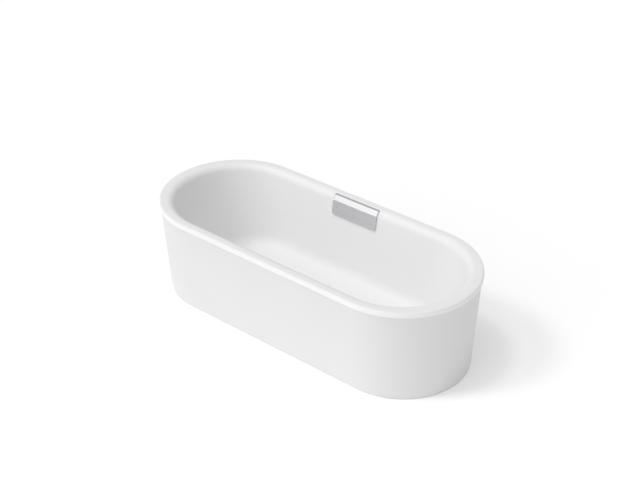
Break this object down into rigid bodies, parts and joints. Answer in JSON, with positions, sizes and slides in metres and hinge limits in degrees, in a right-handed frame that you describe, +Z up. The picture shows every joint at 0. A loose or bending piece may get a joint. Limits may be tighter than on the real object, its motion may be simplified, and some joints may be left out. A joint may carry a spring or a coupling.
{
  "type": "freestanding bathtub",
  "caption": "Freestanding oval bathtub: white acrylic basin with a soft rolled rim in a tapered skirt, overflow cover, click waste, trap and levelling feet.",
  "frame": {"origin": "centre of the bath's footprint, on the floor that its feet stand on", "axes": "+X along the bath's length, +Y towards the side that carries the overflow cover, +Z up"},
  "size_m": [1.8, 0.77, 0.505],
  "materials": {
    "basin": "satin gloss white acrylic",
    "skirt": "satin white acrylic",
    "cover_chrome": "polished chrome with a fine brushed grain",
    "waste_chrome": "polished chrome",
    "silicone": "matt white sanitary silicone",
    "gasket_rubber": "matt black rubber",
    "board": "sealed chipboard",
    "zinc_steel": "zinc plated",
    "plastic_white": "moulded, satin",
    "plastic_grey": "moulded, satin",
    "hose": "ribbed flexible hose"
  },
  "bodies": {
    "bath": {"basin": "basin", "skirt": "skirt", "rim_bond_bead": "silicone", "floor_seal": "silicone", "base_board": "board", "cross_rail_left": "zinc_steel", "cross_rail_right": "zinc_steel", "rail_screw_1": "zinc_steel", "rail_screw_2": "zinc_steel", "rail_screw_3": "zinc_steel", "rail_screw_4": "zinc_steel", "skirt_bracket_1": "zinc_steel", "skirt_bracket_2": "zinc_steel", "skirt_bracket_3": "zinc_steel", "skirt_bracket_4": "zinc_steel", "bracket_screw_1": "zinc_steel", "bracket_screw_2": "zinc_steel", "bracket_screw_3": "zinc_steel", "bracket_screw_4": "zinc_steel", "foot_nut_1": "zinc_steel", "foot_nut_2": "zinc_steel", "foot_nut_3": "zinc_steel", "foot_nut_4": "zinc_steel", "foot_lock_nut_1": "zinc_steel", "foot_lock_nut_2": "zinc_steel", "foot_lock_nut_3": "zinc_steel", "foot_lock_nut_4": "zinc_steel", "overflow_cover": "cover_chrome", "overflow_clip": "zinc_steel", "overflow_gasket": "gasket_rubber", "overflow_body": "plastic_grey", "overflow_screw_1": "zinc_steel", "overflow_screw_2": "zinc_steel", "overflow_hose": "hose", "hose_nut_top": "plastic_white", "hose_nut_low": "plastic_white", "waste_flange": "waste_chrome", "flange_gasket": "gasket_rubber", "waste_gasket": "gasket_rubber", "waste_body": "plastic_grey", "waste_strainer": "waste_chrome", "trap_bowl": "plastic_white", "trap_cap": "plastic_grey", "trap_nut_in": "plastic_white", "trap_nut_out": "plastic_white", "outlet_pipe": "plastic_grey"},
    "waste_plug": {"plug_cap": "waste_chrome", "plug_stem": "waste_chrome", "plug_seal": "gasket_rubber"},
    "foot_1": {"foot_stud_1": "zinc_steel", "foot_pad_1": "plastic_grey"},
    "foot_2": {"foot_stud_2": "zinc_steel", "foot_pad_2": "plastic_grey"},
    "foot_3": {"foot_stud_3": "zinc_steel", "foot_pad_3": "plastic_grey"},
    "foot_4": {"foot_stud_4": "zinc_steel", "foot_pad_4": "plastic_grey"}
  },
  "joints": [
    {"name": "plug_slide", "type": "slide", "parent": "bath", "child": "waste_plug", "axis": [0, 0, 1], "range_m": [0, 0.01]},
    {"name": "foot_1_slide", "type": "slide", "parent": "bath", "child": "foot_1", "axis": [0, 0, -1], "range_m": [0, 0.015]},
    {"name": "foot_2_slide", "type": "slide", "parent": "bath", "child": "foot_2", "axis": [0, 0, -1], "range_m": [0, 0.015]},
    {"name": "foot_3_slide", "type": "slide", "parent": "bath", "child": "foot_3", "axis": [0, 0, -1], "range_m": [0, 0.015]},
    {"name": "foot_4_slide", "type": "slide", "parent": "bath", "child": "foot_4", "axis": [0, 0, -1], "range_m": [0, 0.015]}
  ]
}
